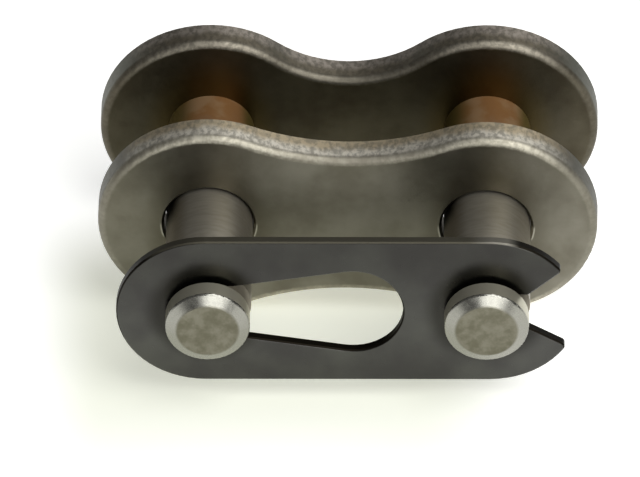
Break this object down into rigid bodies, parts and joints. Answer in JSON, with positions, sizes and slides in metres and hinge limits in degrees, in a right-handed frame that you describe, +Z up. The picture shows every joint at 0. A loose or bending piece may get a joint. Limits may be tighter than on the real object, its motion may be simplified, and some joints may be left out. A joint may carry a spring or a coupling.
{
  "type": "chain connecting link",
  "caption": "Connecting link that joins the ends of a roller chain: riveted pin plate, slip-on outer plate and spring clip with keyhole and snap mouth.",
  "frame": {"origin": "midway between the two pin axes, on the inner face of the riveted rear plate", "axes": "+X along the pitch, from the clip's closed end to its open end; -Y along the pins, from the rear plate to the clip; +Z up"},
  "size_m": [0.0228, 0.0168, 0.0102],
  "materials": {
    "plate_steel": "heat-darkened, tumbled, bright on the rims",
    "pin_steel": "turned and ground, oiled",
    "clip_steel": "black tempered spring steel, satin"
  },
  "bodies": {
    "root": {"rear_plate": "plate_steel", "pin_closed_end": "pin_steel", "pin_open_end": "pin_steel"},
    "front_plate": {"front_plate": "plate_steel"},
    "spring_clip": {"spring_clip": "clip_steel"}
  },
  "joints": [
    {"name": "plate_slide", "type": "slide", "parent": "root", "child": "front_plate", "axis": [0, -1, 0], "range_m": [-0.0053, 0.0055]},
    {"name": "clip_slide", "type": "slide", "parent": "root", "child": "spring_clip", "axis": [-1, 0, 0], "range_m": [0, 0.0066], "deforming": ["spring_clip"]}
  ]
}
